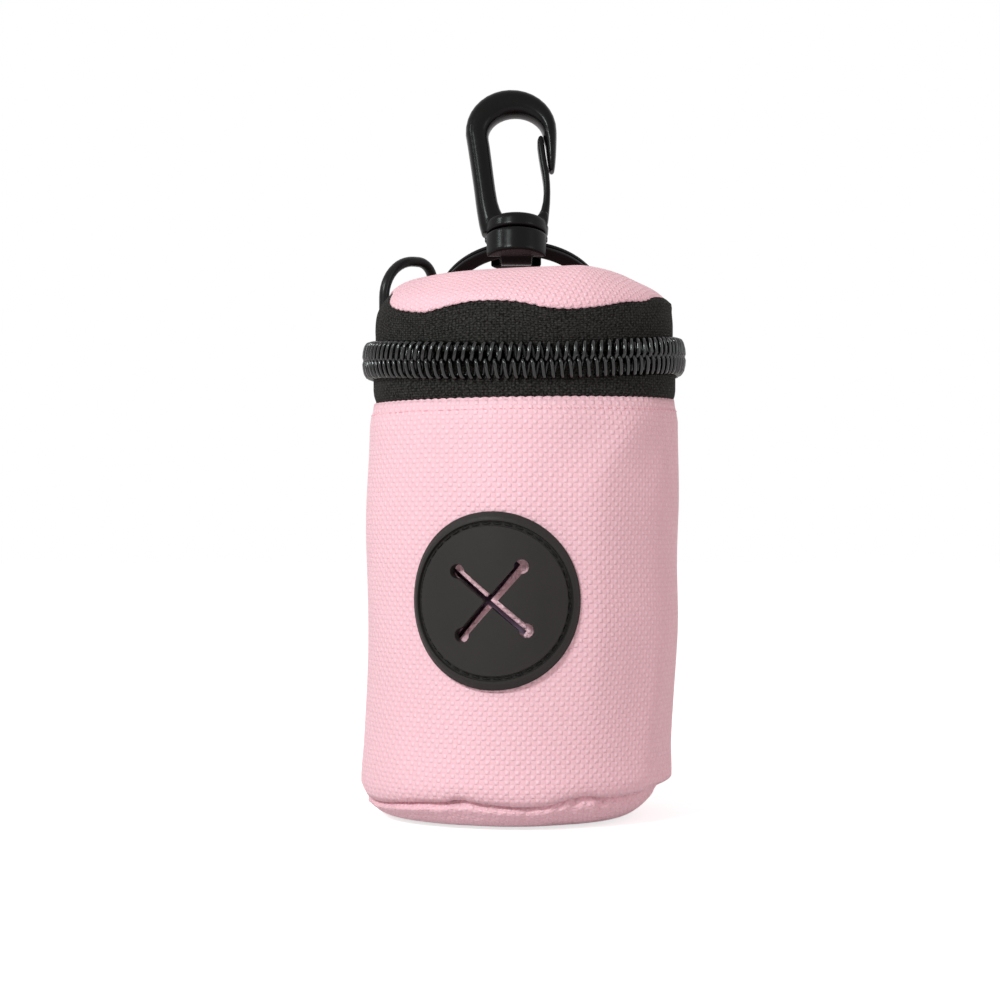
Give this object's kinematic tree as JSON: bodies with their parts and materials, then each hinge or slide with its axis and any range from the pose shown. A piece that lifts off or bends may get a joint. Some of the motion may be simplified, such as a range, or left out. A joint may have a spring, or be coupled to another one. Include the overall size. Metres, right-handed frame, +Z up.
{
  "type": "dog waste bag dispenser pouch",
  "caption": "Round zipped fabric pouch that holds a bag roll, with a cross-slotted rubber patch to pull bags through and a swivel snap hook on a split ring.",
  "frame": {"origin": "middle of the pouch's flat base, on the surface that it stands on", "axes": "+Z up the middle of the pouch, -Y out of the front with the dispensing patch, +X to the right when facing the front"},
  "size_m": [0.053, 0.0611, 0.1217],
  "materials": {
    "pouch_fabric": "coarse woven oxford cloth, matt",
    "binding": "narrow woven binding",
    "pink_thread": "sewing thread",
    "black_thread": "sewing thread",
    "patch_rubber": "satin soft rubber",
    "zip_tape": "herringbone woven zip tape",
    "zip_coil": "nylon filament",
    "zip_metal": "black lacquer on die-cast metal",
    "loop_metal": "black coated wire",
    "webbing": "ribbed woven webbing",
    "ring_metal": "black plated spring wire",
    "hook_plastic": "moulded plastic, satin gloss",
    "pin_steel": "plain steel pin",
    "core_card": "wound grey-brown paper",
    "bag_film": "thin polythene film, wound tight"
  },
  "bodies": {
    "pouch": {"side_panel": "pouch_fabric", "base_panel": "pouch_fabric", "base_seam_binding": "binding", "rear_seam_stitching": "pink_thread", "slot_patch": "patch_rubber", "patch_stitching": "black_thread", "lower_zip_tape": "zip_tape", "lower_zip_coil": "zip_coil", "rear_panel_lower": "webbing"},
    "lid": {"lid_panel": "pouch_fabric", "lid_seam_binding": "binding", "upper_zip_tape": "zip_tape", "upper_zip_coil": "zip_coil", "lower_tape_ends": "zip_tape", "lower_coil_ends": "zip_coil", "zip_stops": "zip_metal", "rear_panel_upper": "webbing", "hanger_loop": "webbing", "hanger_stitching": "black_thread"},
    "slider": {"slider_body": "zip_metal"},
    "puller": {"pull_loop": "loop_metal"},
    "ring": {"split_ring": "ring_metal"},
    "eye": {"swivel_eye": "hook_plastic"},
    "hook": {"hook_body": "hook_plastic", "gate_pin": "pin_steel"},
    "gate": {"hook_gate": "hook_plastic"},
    "roll": {"roll_core": "core_card", "bag_roll": "bag_film", "bag_tail": "bag_film"}
  },
  "joints": [
    {"name": "lid_open", "type": "hinge", "parent": "pouch", "child": "lid", "pos_m": [0, 0.026, 0.0685], "axis": [-1, 0, 0], "range_deg": [0, 110]},
    {"name": "zip_run", "type": "hinge", "parent": "lid", "child": "slider", "pos_m": [0, 0, 0.0735], "axis": [0, 0, 1], "range_deg": [0, 276], "deforming": ["upper_zip_coil", "lower_coil_ends", "lower_zip_coil"]},
    {"name": "puller_flip", "type": "hinge", "parent": "slider", "child": "puller", "pos_m": [-0.01924, 0.02136, 0.0735], "axis": [-0.7431, -0.6691, 0], "range_deg": [0, 135]},
    {"name": "ring_swing", "type": "hinge", "parent": "lid", "child": "ring", "pos_m": [-0.0008, 0.031, 0.07681], "axis": [1, 0, 0], "range_deg": [-190, 0]},
    {"name": "eye_tilt", "type": "hinge", "parent": "ring", "child": "eye", "pos_m": [-0.0012, 0.011, 0.09359], "axis": [-1, 0, 0], "range_deg": [-35, 18]},
    {"name": "hook_swivel", "type": "hinge", "parent": "eye", "child": "hook", "pos_m": [-0.0012, 0.01211, 0.09743], "axis": [0, 0.2756, 0.9613], "continuous": true},
    {"name": "gate_press", "type": "hinge", "parent": "hook", "child": "gate", "pos_m": [0.003, 0.0123, 0.09811], "axis": [0, -0.9613, 0.2756], "range_deg": [0, 25], "stiffness_Nm_per_rad": 0.01, "springref_deg": -5.73},
    {"name": "roll_spin", "type": "hinge", "parent": "pouch", "child": "roll", "pos_m": [0, 0, 0.03], "axis": [0, 0, 1], "continuous": true}
  ]
}
